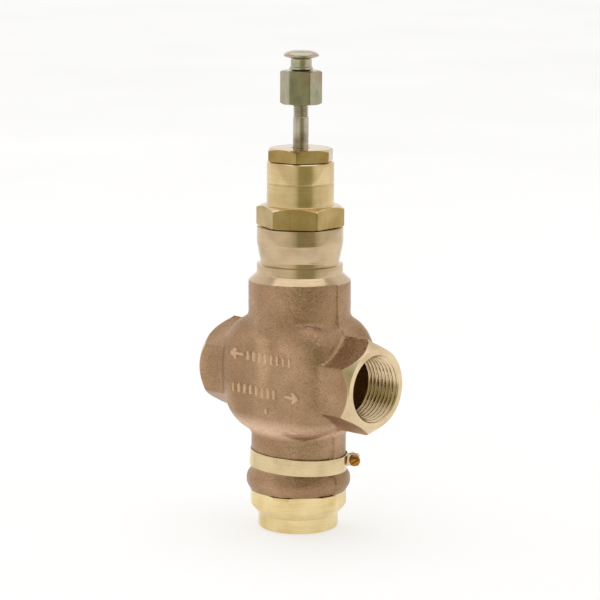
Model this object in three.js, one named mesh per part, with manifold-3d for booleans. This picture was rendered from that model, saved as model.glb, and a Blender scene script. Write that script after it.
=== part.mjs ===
// Stem-operated globe control valve with two female pipe sockets.
// Millimetres, +Z up along the stem, origin at the centre of the bottom plug's underside.
// +X points to the outlet socket, -Y is the face with the cast flow arrow.
import * as THREE from 'three';
import { mergeVertices } from 'three/addons/utils/BufferGeometryUtils.js';
import Module from 'manifold-3d';

const wasm = await Module();
wasm.setup();

// ---- driving dimensions ----
const GAP = 0.3;              // clearance between pieces that touch
const SMALL = 24;             // sides of a small round piece
const MEDIUM = 36;
const LARGE = 44;             // sides of a large round piece

const STEM_R = 3.175;         // quarter-inch stem
const STROKE = 8;             // travel from open (at rest) to closed

const PORT_Z = 62.6;          // height of both pipe axes
const FACE_X = 41.3;          // half of the face-to-face length
const HEX_CORNER_R = 19.0;    // pipe hexagon, centre to corner
const SOCKET_R = 12.6;        // mean radius of the three-quarter-inch pipe thread
const SOCKET_DEPTH = 15;
const POCKET_R = 13.2;        // open space behind the thread
const POCKET_X = 17;          // where that space ends, measured from the stem axis
const SOCKET_MOUTH_R = 14.7;
const CORNER_CUT = 4;         // depth of the machined cone at the hexagon's corners
const FACE_RING_R = 15.9;

const GLOBE_Z = 63.7;         // centre of the rounded waist
const GLOBE_HALF_X = 29;
const GLOBE_HALF_Z = 25.4;
const GLOBE_HALF_T = 20.8;    // half thickness, along Y
const GLOBE_EDGE_R = 10;
const GLOBE_SQUARENESS = 2.8;   // 2 would make the outline an ellipse
const ARROW_HEIGHT = 0.6;     // how far the cast arrows stand out

const UPPER_NECK_R = 20.4;
const LOWER_NECK_R = 19.0;
const BEAD_R = 20.96;
const BEAD_Z = 19.8;
const COLLAR_R = 17.4;        // machined collar that an actuator clamps on
const COLLAR_GROOVE_R = 15.96;
const SHOULDER_Z = 101.9;
const COLLAR_TOP = 123.4;
const BODY_BOTTOM = 15.7;

const CHAMBER_R = 13.5;
const NECK_BORE_R = 12.5;
const BRIDGE_LOW = 60;
const BRIDGE_HIGH = 67.5;
const BRIDGE_BORE_R = 10.3;
const WINDOW_WIDTH = 17;       // windows from the pockets into the chambers
const LEDGE_HIGH = 106.1;     // ledge that the bonnet gasket lies on
const LEDGE_LOW = 28.5;       // ledge that the bottom gasket lies under
const PLUG_BORE_R = 15.5;

const BONNET_HEX_LOW = COLLAR_TOP + GAP;
const BONNET_HEX_TOP = 132;
const BONNET_TOP = 149.5;
const BONNET_R = 13.5;
const PACKING_BORE_R = 7;
const PACKING_FLOOR = 127.3;
const GLAND_THREAD_LOW = 144;
const GLAND_HEX_LOW = BONNET_TOP + GAP;
const GLAND_TOP = 154.9;

const SEAT_TOP = 70.5;
const DISC_LOW = SEAT_TOP + STROKE + GAP;

const NUT_LOW = 172.3;
const NUT_TOP = 185.7;
const STEM_TOP = 177.6;
const BUTTON_TOP = 193.7;

const STRAP_R = 19.45;        // inside of the strap
const STRAP_T = 0.45;
const STRAP_WIDTH = 6.6;
const STRAP_Z = 28.0;
const STRAP_TILT = 3.3;       // degrees, lower at the ears
const STRAP_EAR_AZIMUTH = 140;  // degrees from -Y towards +X

// ---- materials ----
const bronze = () => new THREE.MeshStandardMaterial({ color: 0xa58269, roughness: 0.7, metalness: 0.7 });
const brass = () => new THREE.MeshStandardMaterial({ color: 0xcdb47d, roughness: 0.3, metalness: 1 });
const steel = () => new THREE.MeshStandardMaterial({ color: 0x9c9a94, roughness: 0.35, metalness: 1 });
const zinc = () => new THREE.MeshStandardMaterial({ color: 0xb9b49b, roughness: 0.35, metalness: 1 });
const copper = () => new THREE.MeshStandardMaterial({ color: 0xb87353, roughness: 0.4, metalness: 1 });
const polymer = () => new THREE.MeshStandardMaterial({ color: 0xdedad0, roughness: 0.6, metalness: 0 });
const fibre = () => new THREE.MeshStandardMaterial({ color: 0x4a5550, roughness: 0.9, metalness: 0 });
const rubber = () => new THREE.MeshStandardMaterial({ color: 0x1c1c1d, roughness: 0.8, metalness: 0 });

// ---- solids ----
const radians = (degrees) => degrees * Math.PI / 180;
const point = (r, z) => new THREE.Vector2(r, z);

// A closed geometry as a solid that can be joined and cut.
function solid(geometry) {
  const bare = geometry.clone();
  bare.deleteAttribute('normal');
  bare.deleteAttribute('uv');
  const merged = mergeVertices(bare, 1e-4);
  return new wasm.Manifold(new wasm.Mesh({
    numProp: 3,
    vertProperties: new Float32Array(merged.attributes.position.array),
    triVerts: new Uint32Array(merged.index.array),
  }));
}

// A solid as a geometry again.
function geometryOf(manifold) {
  const mesh = manifold.getMesh();
  const geometry = new THREE.BufferGeometry();
  geometry.setAttribute('position', new THREE.BufferAttribute(new Float32Array(mesh.vertProperties), 3));
  geometry.setIndex(new THREE.BufferAttribute(new Uint32Array(mesh.triVerts), 1));
  geometry.computeVertexNormals();
  return geometry;
}

// A profile of (radius, height) pairs, listed upwards, turned about Z.
function turned(profile, sides = LARGE) {
  const points = profile.map(([r, z]) => point(r, z));
  return solid(new THREE.LatheGeometry(points, sides).rotateX(Math.PI / 2));
}

// A full cylinder about Z.
function rod(r, low, high, sides = LARGE) {
  return turned([[0, low], [r, low], [r, high], [0, high]], sides);
}

// A flat ring about Z.
function ring(inner, outer, low, high, sides = LARGE) {
  return turned([[inner, low], [outer, low], [outer, high], [inner, high], [inner, low]], sides);
}

// A hexagonal bar about Z, its first corner at an azimuth measured from -Y towards +X.
function hexBar(cornerR, low, high, azimuth) {
  const outline = new THREE.Shape();
  for (let corner = 0; corner < 6; corner += 1) {
    const angle = radians(azimuth - 90 + 60 * corner);
    const x = cornerR * Math.cos(angle);
    const y = cornerR * Math.sin(angle);
    if (corner === 0) outline.moveTo(x, y);
    else outline.lineTo(x, y);
  }
  const bar = new THREE.ExtrudeGeometry(outline, { depth: high - low, bevelEnabled: false });
  return solid(bar.translate(0, 0, low));
}

// Turns a solid that was made about Z so that it lies about the outlet axis (+X) or the inlet axis (-X).
function alongPort(manifold, side) {
  return manifold.rotate([0, 90 * side, 0]).translate([0, 0, PORT_Z]);
}

const group = new THREE.Group();

function add(name, manifold, material) {
  const mesh = new THREE.Mesh(geometryOf(manifold), material);
  mesh.name = name;
  group.add(mesh);
}

// ---- valve body ----
// Rounded waist: a thick plate across the Y axis, its outline between an oval and a rectangle.
function waist() {
  const profile = [[0, -GLOBE_HALF_T]];
  const steps = 6;
  const flatR = GLOBE_HALF_Z - GLOBE_EDGE_R;
  const flatHalfT = GLOBE_HALF_T - GLOBE_EDGE_R;
  for (const side of [-1, 1]) {
    for (let i = 0; i <= steps; i += 1) {
      const angle = radians(90 * i / steps - (side < 0 ? 90 : 0));
      profile.push([flatR + GLOBE_EDGE_R * Math.cos(angle), side * flatHalfT + GLOBE_EDGE_R * Math.sin(angle)]);
    }
  }
  profile.push([0, GLOBE_HALF_T]);
  const plate = turned(profile).rotate([90, 0, 0]).warp((vertex) => {
    const reach = Math.hypot(vertex[0], vertex[2]);
    const across = Math.abs(vertex[0]) ** GLOBE_SQUARENESS + Math.abs(vertex[2]) ** GLOBE_SQUARENESS;
    const growth = reach > 0 ? reach / across ** (1 / GLOBE_SQUARENESS) : 1;
    vertex[0] *= growth * GLOBE_HALF_X / GLOBE_HALF_Z;
    vertex[2] *= growth;
  });
  return plate.translate([0, 0, GLOBE_Z]);
}

// Necks, bead and machined collar, all turned about Z.
function column() {
  const profile = [[0, BODY_BOTTOM], [18.6, BODY_BOTTOM]];
  for (let i = 0; i <= 6; i += 1) {
    const angle = radians(-60 + 130 * i / 6);
    profile.push([18.2 + (BEAD_R - 18.2) * Math.cos(angle), BEAD_Z + 3.9 * Math.sin(angle)]);
  }
  profile.push([LOWER_NECK_R, 24.2], [LOWER_NECK_R, 40.5], [UPPER_NECK_R, 43]);
  profile.push([UPPER_NECK_R, SHOULDER_Z], [COLLAR_R, 104.6], [COLLAR_R, 108.3]);
  profile.push([COLLAR_GROOVE_R, 108.6], [COLLAR_GROOVE_R, 110.3]);
  profile.push([COLLAR_R, 117.3], [COLLAR_R, COLLAR_TOP], [0, COLLAR_TOP]);
  return turned(profile);
}

// Pipe hexagon on one side, its corners cut back by a cone.
function pipeHexagon(side) {
  const bar = hexBar(HEX_CORNER_R, 14, FACE_X, 0).rotate([0, 0, 90]);
  const cone = turned([
    [0, 13], [HEX_CORNER_R + 1, 13], [HEX_CORNER_R + 1, FACE_X - CORNER_CUT - 1.29],
    [FACE_RING_R, FACE_X], [0, FACE_X],
  ]);
  return alongPort(bar.intersect(cone), side);
}

// Threaded socket with a chamfered mouth and the pocket behind it, as a cutting tool.
function socketTool(side) {
  return alongPort(turned([
    [0, POCKET_X], [POCKET_R, POCKET_X], [POCKET_R, FACE_X - SOCKET_DEPTH],
    [SOCKET_R, FACE_X - SOCKET_DEPTH], [SOCKET_R, FACE_X - 1.8],
    [SOCKET_MOUTH_R, FACE_X], [SOCKET_MOUTH_R, FACE_X + 1], [0, FACE_X + 1],
  ], MEDIUM), side);
}

// Window from a socket's pocket into its chamber, as a cutting tool.
function windowTool(side, low, high) {
  const window = new THREE.BoxGeometry(POCKET_X - 6, WINDOW_WIDTH, high - low);
  return solid(window.translate(side * (POCKET_X + 7) / 2, 0, (low + high) / 2));
}

// Raised rib that the mould's parting line leaves on both sides of the upper neck.
function partingRib(side) {
  const rib = new THREE.BoxGeometry(3, 3.6, 16).translate(side * (UPPER_NECK_R - 0.9), 0, 93.5);
  return solid(rib);
}

// Raised flow arrow on the -Y face, its tip at (tipX, z); a direction of 1 points along +X.
function flowArrow(tipX, z, direction) {
  const outline = new THREE.Shape();
  outline.moveTo(-7, -0.5);
  outline.lineTo(-2.6, -0.5);
  outline.lineTo(-2.6, -1.8);
  outline.lineTo(0, 0);
  outline.lineTo(-2.6, 1.8);
  outline.lineTo(-2.6, 0.5);
  outline.lineTo(-7, 0.5);
  const arrow = new THREE.ExtrudeGeometry(outline, { depth: 2 * ARROW_HEIGHT, bevelEnabled: false });
  arrow.rotateZ(direction > 0 ? 0 : Math.PI);
  arrow.rotateX(Math.PI / 2).translate(tipX, -GLOBE_HALF_T + ARROW_HEIGHT, z);
  return solid(arrow);
}

function valveBody() {
  let body = column().add(waist());
  for (const side of [-1, 1]) body = body.add(pipeHexagon(side)).add(partingRib(side));
  body = body.add(flowArrow(18, 58.3, 1)).add(flowArrow(-17, 72.2, -1));
  const bores = turned([
    [0, BODY_BOTTOM - 1], [PLUG_BORE_R, BODY_BOTTOM - 1], [PLUG_BORE_R, LEDGE_LOW],
    [CHAMBER_R, LEDGE_LOW], [CHAMBER_R, BRIDGE_LOW], [BRIDGE_BORE_R, BRIDGE_LOW],
    [BRIDGE_BORE_R, BRIDGE_HIGH], [CHAMBER_R, BRIDGE_HIGH], [CHAMBER_R, 99], [NECK_BORE_R - 0.8, 101],
    [NECK_BORE_R - 0.8, LEDGE_HIGH], [NECK_BORE_R, LEDGE_HIGH], [NECK_BORE_R, COLLAR_TOP + 1],
    [0, COLLAR_TOP + 1],
  ]);
  body = body.subtract(bores);
  for (const side of [-1, 1]) body = body.subtract(socketTool(side));
  const inletWindow = windowTool(-1, PORT_Z - 12, BRIDGE_LOW - 0.5);
  const outletWindow = windowTool(1, BRIDGE_HIGH + 0.5, PORT_Z + 12);
  return body.subtract(inletWindow).subtract(outletWindow);
}

// ---- bottom plug ----
function bottomPlug() {
  const bar = hexBar(21.2, -1, 15.4, 21);
  const blank = turned([
    [0, 0], [15.7, 0], [16.3, 0.6], [16.3, 6.1], [19.5, 9.6], [19.5, 15.4], [0, 15.4],
  ]);
  const boss = rod(16.3, 0, 8);
  const spigot = rod(PLUG_BORE_R - GAP, 15, LEDGE_LOW - 1.5);
  const pocket = rod(11.5, 4.5, LEDGE_LOW);
  const head = bar.intersect(blank).add(boss.intersect(blank));
  return head.add(spigot).subtract(pocket);
}

// ---- bonnet and gland ----
function bonnet() {
  const hexagon = hexBar(17.85, BONNET_HEX_LOW, BONNET_HEX_TOP, 5).intersect(turned([
    [0, BONNET_HEX_LOW], [17.3, BONNET_HEX_LOW], [17.85, BONNET_HEX_LOW + 0.5],
    [17.85, BONNET_HEX_TOP - 1], [15.6, BONNET_HEX_TOP], [0, BONNET_HEX_TOP],
  ]));
  const barrel = turned([
    [0, BONNET_HEX_LOW], [BONNET_R, BONNET_HEX_LOW], [BONNET_R, BONNET_TOP - 0.4],
    [BONNET_R - 0.4, BONNET_TOP], [0, BONNET_TOP],
  ]);
  const spigot = rod(NECK_BORE_R - GAP, LEDGE_HIGH + 1.7, BONNET_HEX_LOW + 1);
  const bores = turned([
    [0, 107], [6.3, 107], [6.3, 125.7], [STEM_R + 0.6, 126], [STEM_R + 0.6, PACKING_FLOOR],
    [PACKING_BORE_R, PACKING_FLOOR], [PACKING_BORE_R, GLAND_THREAD_LOW],
    [9.3, GLAND_THREAD_LOW], [9.3, BONNET_TOP + 1], [0, BONNET_TOP + 1],
  ], MEDIUM);
  return hexagon.add(barrel).add(spigot).subtract(bores);
}

function glandNut() {
  const hexagon = hexBar(14, GLAND_HEX_LOW, GLAND_TOP, 35.5).intersect(turned([
    [0, GLAND_HEX_LOW], [13.4, GLAND_HEX_LOW], [14, GLAND_HEX_LOW + 0.4],
    [14, GLAND_TOP - 0.8], [12.2, GLAND_TOP], [0, GLAND_TOP],
  ]));
  const spigot = rod(9, GLAND_THREAD_LOW + GAP, GLAND_HEX_LOW + 1, MEDIUM);
  return hexagon.add(spigot).subtract(rod(STEM_R + GAP, GLAND_THREAD_LOW, GLAND_TOP + 1, SMALL));
}

// ---- packing ----
const SPRING_LOW = PACKING_FLOOR + 0.3;
const SPRING_HIGH = 133;
const SPRING_MEAN_R = 5.5;
const SPRING_WIRE_R = 0.45;
const WASHER_LOW = SPRING_HIGH + GAP;
const RING_LOW = WASHER_LOW + 1 + GAP;
const RING_HEIGHT = 2.1;
const RING_COUNT = 3;
const FOLLOWER_LOW = RING_LOW + RING_COUNT * (RING_HEIGHT + GAP);
const RING_OUTER_R = PACKING_BORE_R - GAP;
const RING_INNER_R = STEM_R + GAP;

class Coil extends THREE.Curve {
  constructor(r, low, high, turns) {
    super();
    Object.assign(this, { r, low, high, turns });
  }

  getPoint(t, target = new THREE.Vector3()) {
    const angle = 2 * Math.PI * this.turns * t;
    return target.set(this.r * Math.cos(angle), this.r * Math.sin(angle), this.low + (this.high - this.low) * t);
  }
}

function packingSpring() {
  const turns = 3.5;
  const wire = new THREE.Shape();
  wire.absarc(0, 0, SPRING_WIRE_R, 0, 2 * Math.PI);
  const path = new Coil(SPRING_MEAN_R, SPRING_LOW + SPRING_WIRE_R, SPRING_HIGH - SPRING_WIRE_R, turns);
  return solid(new THREE.ExtrudeGeometry(wire, { steps: 48, curveSegments: 4, extrudePath: path }));
}

// V-shaped packing ring, its open side down.
function packingRing(low) {
  const middle = (RING_INNER_R + RING_OUTER_R) / 2;
  const top = low + RING_HEIGHT;
  return turned([
    [RING_INNER_R, low], [middle, low + 0.7], [RING_OUTER_R, low], [RING_OUTER_R, top - 0.7],
    [middle, top], [RING_INNER_R, top - 0.7], [RING_INNER_R, low],
  ], SMALL);
}

// ---- trim ----
function seatRing() {
  return turned([
    [8.5, BRIDGE_LOW + GAP], [BRIDGE_BORE_R - GAP, BRIDGE_LOW + GAP], [BRIDGE_BORE_R - GAP, BRIDGE_HIGH + 1.2],
    [NECK_BORE_R - 1.3, BRIDGE_HIGH + 1.2], [NECK_BORE_R - 1.3, SEAT_TOP - 0.8], [10.2, SEAT_TOP - 0.8],
    [9.6, SEAT_TOP], [9.1, SEAT_TOP], [8.5, SEAT_TOP - 0.6], [8.5, BRIDGE_LOW + GAP],
  ], MEDIUM);
}

// Disc holder: a cup that carries the soft disc on its underside.
function valvePlug() {
  const low = DISC_LOW + 0.6;
  return turned([
    [STEM_R + GAP, DISC_LOW + 2.7], [10.4, DISC_LOW + 2.7], [10.4, low], [11.2, low], [11.2, 85.5],
    [8, 88], [STEM_R + GAP, 88], [STEM_R + GAP, DISC_LOW + 2.7],
  ], MEDIUM);
}

function discNut() {
  const low = DISC_LOW - 7.3;
  const blank = turned([
    [0, low], [5.6, low], [6.35, low + 0.6], [6.35, low + 4.4], [5.6, low + 5], [0, low + 5],
  ], SMALL);
  return hexBar(6.35, low, low + 5, 10).intersect(blank).subtract(rod(STEM_R + GAP, low - 1, low + 6, SMALL));
}

function stem() {
  return turned([
    [0, DISC_LOW - 8.6], [STEM_R - 0.5, DISC_LOW - 8.6], [STEM_R, DISC_LOW - 8.1], [STEM_R, 88 + GAP],
    [4.4, 88 + GAP], [4.4, 91], [STEM_R, 92.2], [STEM_R, 162], [STEM_R - 0.2, 163],
    [STEM_R - 0.2, STEM_TOP - 0.6], [STEM_R - 0.8, STEM_TOP], [0, STEM_TOP],
  ], SMALL);
}

// ---- stem coupling ----
function couplingNut() {
  const cornerR = 8.46;
  const blank = turned([
    [0, NUT_LOW], [7.4, NUT_LOW], [cornerR, NUT_LOW + 0.6], [cornerR, NUT_TOP - 0.6], [7.4, NUT_TOP],
    [0, NUT_TOP],
  ], SMALL);
  const bore = rod(STEM_R + GAP, NUT_LOW - 1, NUT_TOP + 1, SMALL);
  return hexBar(cornerR, NUT_LOW, NUT_TOP, 6).intersect(blank).subtract(bore);
}

function stemButton() {
  return turned([
    [0, 180.2], [STEM_R - 0.3, 180.2], [STEM_R, 180.7], [STEM_R, NUT_TOP + GAP], [4.7, NUT_TOP + GAP],
    [4.7, 186.8], [4.2, 187.3], [4.2, 190.2], [4.7, 190.6], [6.6, 191.0], [7.2, 191.6], [6.6, 192.3],
    [5.4, 193.1], [3.4, BUTTON_TOP], [0, BUTTON_TOP],
  ], MEDIUM);
}

// ---- strap ----
// The strap's own frame has its ears at +X; it is then tilted and turned to the ear azimuth.
function placeOnNeck(manifold) {
  return manifold.rotate([0, STRAP_TILT, 0]).rotate([0, 0, STRAP_EAR_AZIMUTH - 90]).translate([0, 0, STRAP_Z]);
}

const EAR_GAP = 1.6;          // between the two ears
const EAR_LENGTH = 5.2;
const SCREW_X = STRAP_R + STRAP_T + 2.9;
const SCREW_R = 1.1;

function strap() {
  const half = STRAP_WIDTH / 2;
  const outer = STRAP_R + STRAP_T;
  let band = ring(STRAP_R, outer, -half, half, 72);
  for (const side of [-1, 1]) {
    const ear = new THREE.BoxGeometry(EAR_LENGTH, STRAP_T * 2, STRAP_WIDTH - 1);
    ear.translate(STRAP_R + 0.2 + EAR_LENGTH / 2, side * (EAR_GAP / 2 + STRAP_T), 0);
    band = band.add(solid(ear));
  }
  const slot = new THREE.BoxGeometry(STRAP_R, EAR_GAP, STRAP_WIDTH * 2).translate(STRAP_R, 0, 0);
  const hole = rod(SCREW_R + GAP, -5, 5, 20).rotate([90, 0, 0]).translate([SCREW_X, 0, 0]);
  return placeOnNeck(band.subtract(solid(slot)).subtract(hole));
}

const EAR_FACE = EAR_GAP / 2 + 2 * STRAP_T + GAP;

function strapScrew() {
  const shank = rod(SCREW_R, -EAR_FACE - 3, EAR_FACE + 0.2, 20);
  const head = rod(2.2, EAR_FACE, EAR_FACE + 1.9, 24);
  const slot = new THREE.BoxGeometry(0.7, 6, 1.6).translate(0, 0, EAR_FACE + 1.9);
  const screw = shank.add(head).subtract(solid(slot));
  return placeOnNeck(screw.rotate([90, 0, 0]).translate([SCREW_X, 0, 0]));
}

function strapNut() {
  const nut = hexBar(2.5, -EAR_FACE - 1.9, -EAR_FACE, 0).subtract(rod(SCREW_R + GAP, -9, 9, 20));
  return placeOnNeck(nut.rotate([90, 0, 0]).translate([SCREW_X, 0, 0]));
}

// ---- assembly ----
add('valve_body', valveBody(), bronze());
add('bottom_plug', bottomPlug(), brass());
add('bottom_gasket', ring(CHAMBER_R, PLUG_BORE_R - GAP, LEDGE_LOW - 1.2, LEDGE_LOW - GAP), fibre());
add('bonnet', bonnet(), brass());
add('bonnet_gasket', ring(8, NECK_BORE_R - GAP, LEDGE_HIGH + GAP, LEDGE_HIGH + 1.4), fibre());
add('guide_bush', ring(STEM_R + GAP, 6, 109, 125.4, SMALL), polymer());
add('gland_nut', glandNut(), brass());
add('packing_spring', packingSpring(), steel());
add('packing_washer', ring(STEM_R + 0.6, RING_OUTER_R, WASHER_LOW, WASHER_LOW + 1, SMALL), brass());
for (let index = 0; index < RING_COUNT; index += 1) {
  add(`packing_ring_${index + 1}`, packingRing(RING_LOW + index * (RING_HEIGHT + GAP)), polymer());
}
add('packing_follower', ring(STEM_R + 0.6, RING_OUTER_R, FOLLOWER_LOW, GLAND_THREAD_LOW, SMALL), brass());
add('seat_ring', seatRing(), brass());
add('seat_gasket', ring(BRIDGE_BORE_R, NECK_BORE_R - 1.3, BRIDGE_HIGH + GAP, BRIDGE_HIGH + 0.9), copper());
add('valve_plug', valvePlug(), brass());
add('seat_disc', ring(STEM_R + 0.6, 10.1, DISC_LOW, DISC_LOW + 2.4, MEDIUM), rubber());
add('disc_washer', ring(STEM_R + GAP, 7.2, DISC_LOW - 1.9, DISC_LOW - GAP, SMALL), steel());
add('disc_nut', discNut(), brass());
add('stem', stem(), steel());
add('coupling_nut', couplingNut(), zinc());
add('stem_button', stemButton(), zinc());
add('strap_band', strap(), brass());
add('strap_screw', strapScrew(), brass());
add('strap_nut', strapNut(), brass());

export default group;
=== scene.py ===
"""Looks of a stem-operated globe control valve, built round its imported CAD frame."""

import math

import bmesh
import bpy
import numpy as np
from mathutils import Matrix, Vector


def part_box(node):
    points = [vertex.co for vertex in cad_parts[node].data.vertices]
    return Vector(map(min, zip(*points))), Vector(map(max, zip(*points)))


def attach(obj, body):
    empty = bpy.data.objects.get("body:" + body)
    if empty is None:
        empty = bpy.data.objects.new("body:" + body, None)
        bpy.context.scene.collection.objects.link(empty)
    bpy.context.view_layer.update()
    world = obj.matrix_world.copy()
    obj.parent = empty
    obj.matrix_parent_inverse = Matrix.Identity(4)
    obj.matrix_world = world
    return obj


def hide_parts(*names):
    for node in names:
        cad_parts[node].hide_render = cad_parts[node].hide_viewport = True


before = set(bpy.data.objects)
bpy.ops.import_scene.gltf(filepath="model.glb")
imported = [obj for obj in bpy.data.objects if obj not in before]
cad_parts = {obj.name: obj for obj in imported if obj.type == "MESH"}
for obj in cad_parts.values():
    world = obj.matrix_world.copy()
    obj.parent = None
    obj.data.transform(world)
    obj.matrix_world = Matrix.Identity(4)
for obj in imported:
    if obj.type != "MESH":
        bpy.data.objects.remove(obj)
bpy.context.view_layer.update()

MM = 0.001

# ---- sizes in millimetres, in the frame's own axes ----
FACE_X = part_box("valve_body")[1].x / MM       # outlet face; the inlet face is at minus this
COLLAR_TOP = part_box("valve_body")[1].z / MM
BODY_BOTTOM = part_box("valve_body")[0].z / MM
GAP = 0.3                                     # clearance between pieces that touch

PORT_Z = 62.6                                 # height of both pipe axes
HEX_APOTHEM = 16.45                           # pipe hexagon, centre to flat
FACE_RING_R = 15.9
MOUTH_R = 13.7
CORNER_SLOPE = 0.775                          # radius gained per millimetre back from the face
CORNER_CUT = 4.1                              # radius gained over the whole cone at the corners
THREAD_R = 13.3                               # root radius at the face
THREAD_TAPER = 1 / 32
THREAD_PITCH = 25.4 / 14
THREAD_DEPTH = 0.85
THREAD_END_X = 26.0
POCKET_R = 13.2                               # open space behind the thread
POCKET_X = 17.0

GLOBE_Z = 63.7                                # centre of the rounded waist
GLOBE_HALF = (29.0, 20.7, 25.4)
GLOBE_EDGE_R = 10.0
GLOBE_SQUARENESS = 2.8                        # 2 would make the waist's outline an ellipse
UPPER_NECK_R = 20.4
LOWER_NECK_R = 19.0
BEAD_R = 20.96
BEAD_Z = 19.8
BEAD_HALF = (3.0, 4.1)                        # across and along the stem axis
COLLAR_R = 17.4
COLLAR_GROOVE_R = 15.96
SHOULDER_Z = 101.9
SKIN_STEP = 0.36

MARK_HEIGHT = 0.52                            # how far the cast marks stand out
MARK_STROKE_R = 0.7
UPPER_MARKS_Z = 72.2
LOWER_MARKS_Z = 58.3
ARROW_LENGTH = 6.2
BARB_LENGTH = 2.3
BARB_RISE = 1.7
BAR_COUNT = 8
BAR_STEP = 3.2
BAR_HALF = 1.3
MOULD_SHIFT = 0.22                            # each half of the mould, along X
FLASH_HEIGHT = 0.42                           # rib on the mould's parting line
FLASH_HALF_WIDTH = 0.45

CHAMBER_R = 13.5
BRIDGE_BORE_R = 10.3
BRIDGE_LOW = 60.0
BRIDGE_HIGH = 67.5
NECK_BORE_R = 12.5
PLUG_BORE_R = 15.5
LEDGE_LOW = 28.5                              # ledge that the bottom gasket lies under
LEDGE_HIGH = 106.1                            # ledge that the bonnet gasket lies on
WINDOW_WIDTH = 17.0
WINDOW_REACH = 12.0                           # how far the windows go above and below the pipe axes

PLUG_R = 16.3
PLUG_HEX_TOP = 15.4
BONNET_R = 13.5
BONNET_HEX_R = 17.85
BONNET_HEX_TOP = 132.0
BONNET_LINE_Z = 141.0                         # fine groove round the barrel
PACKING_BORE_R = 7.0
PACKING_RING_COUNT = 3
GLAND_THREAD_R = 9.0
GLAND_THREAD_LOW = 144.0

STEM_R = 3.175
STEM_BORE_R = STEM_R + GAP
STEM_PITCH = 25.4 / 28
STEM_THREAD_DEPTH = 0.5
STEM_THREAD_LOW = 166.0
STEM_SIDES = 48

STRAP_R = 19.45                               # inside of the strap
STRAP_T = 0.45
STRAP_WIDTH = 6.6
STRAP_Z = 28.0
STRAP_TILT = 3.3                              # degrees, lower at the ears
STRAP_TURN = 50                               # degrees from +X to the ears
EAR_GAP = 1.6
EAR_LENGTH = 5.2
EAR_NARROWING = 2.0                           # an ear is that much narrower than the strap
EAR_FACE = EAR_GAP / 2 + 2 * STRAP_T + GAP    # where the screw's head and the nut bear
SCREW_X = STRAP_R + STRAP_T + 2.9
SCREW_R = 1.1
SCREW_HOLE_R = SCREW_R + GAP

OUTER_SIDES = 160                             # sides of a large turned surface
MIDDLE_SIDES = 128
BORE_SIDES = 96
SMALL_SIDES = 64
SLOT_COUNT = 3                                # the most material slots that a piece has
ON_AXIS = 1e-6                                # a radius below this is a point on the axis

# ---- camera and light ----
CAMERA_AZIMUTH = math.radians(42.7)
CAMERA_ELEVATION = math.radians(10.08)
CAMERA_ROLL = math.radians(0.40)
CAMERA_DISTANCE = 0.9906                      # metres, like all lengths in this section
CAMERA_LENS = 147.5
SENSOR_WIDTH = 36
TARGET_RIGHT = 0.00015
TARGET_Z = 0.0932
FLOOR_NEAR = -0.3                             # the floor's front edge, in front of the valve
FLOOR_FAR = 6.0
FLOOR_HALF = 4.0
FLOOR_DROP = 0.0002
FLOOR_GLOW = 1.3
OPENING_SHIFT = 16                            # degrees that the dim opening lies to the camera's right
# Brightness at each angle, in degrees, from the middle of the opening.
TENT = ((0, 0.36), (21, 0.38), (28, 0.6), (42, 0.8), (90, 0.86), (130, 0.93), (180, 1.0))
ROOF_LEVEL = 0.65
ROOF_START = 0.55                             # sine of the elevation where the tent's roof begins
ROOF_FULL = 0.9
BACKDROP = (0.97, 0.97, 0.965, 1)
LIGHT_AWAY = 0.2
LIGHT_HEIGHT = 1.3
LIGHT_SIZE = 1.4
LIGHT_POWER = 4
LIGHT_AIM_Z = 0.08


# ---- meshes ----
def new_object(name, mesh, materials):
    """An object of a mesh whose points are in millimetres."""
    mesh.transform(Matrix.Scale(MM, 4))
    for material in materials:
        mesh.materials.append(material)
    piece = bpy.data.objects.new(name, mesh)
    bpy.context.scene.collection.objects.link(piece)
    return piece


def place(name, mesh, materials, node, body):
    """A finished piece that stands for one CAD node and rides on its body."""
    piece = new_object(name, mesh, materials)
    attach(piece, body)
    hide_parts(node)


def mesh_of(points, faces, slot=0):
    mesh = bpy.data.meshes.new("part")
    mesh.from_pydata([tuple(p) for p in points], [], [tuple(f) for f in faces])
    mesh.polygons.foreach_set("material_index", [slot] * len(mesh.polygons))
    mesh.update()
    return mesh


def soften(profile, radius=0.15, steps=2):
    """The profile with each inner corner replaced by a small arc."""
    softened = [profile[0]]
    for before, corner, after in zip(profile, profile[1:], profile[2:]):
        b, c, a = (np.array(p, float) for p in (before, corner, after))
        reach = min(radius, np.linalg.norm(b - c) / 2.2, np.linalg.norm(a - c) / 2.2)
        start = c + (b - c) / np.linalg.norm(b - c) * reach
        end = c + (a - c) / np.linalg.norm(a - c) * reach
        for i in range(steps + 1):
            t = i / steps
            softened.append(tuple((1 - t) ** 2 * start + 2 * t * (1 - t) * c + t * t * end))
    softened.append(profile[-1])
    return softened


def turned(profile, sides=OUTER_SIDES, slot=0, closed=False):
    """A profile of (radius, height) turned about Z; it runs upwards from axis to axis, or is closed."""
    rings = []
    points = []
    for r, z in profile:
        if r < ON_AXIS:
            rings.append([len(points)] * sides)
            points.append((0, 0, z))
            continue
        rings.append(list(range(len(points), len(points) + sides)))
        for i in range(sides):
            angle = 2 * math.pi * i / sides
            points.append((r * math.cos(angle), r * math.sin(angle), z))
    pairs = list(zip(rings, rings[1:]))
    if closed:
        pairs.append((rings[-1], rings[0]))
    faces = []
    for low, high in pairs:
        for i in range(sides):
            j = (i + 1) % sides
            corners = [low[i], low[j], high[j], high[i]]
            face = [c for k, c in enumerate(corners) if c != corners[k - 1]]
            if len(face) > 2:
                faces.append(face)
    return mesh_of(points, faces, slot)


def rod(r, low, high, sides=BORE_SIDES, slot=0):
    """A full cylinder about Z."""
    return turned([(0, low), (r, low), (r, high), (0, high)], sides, slot)


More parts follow.
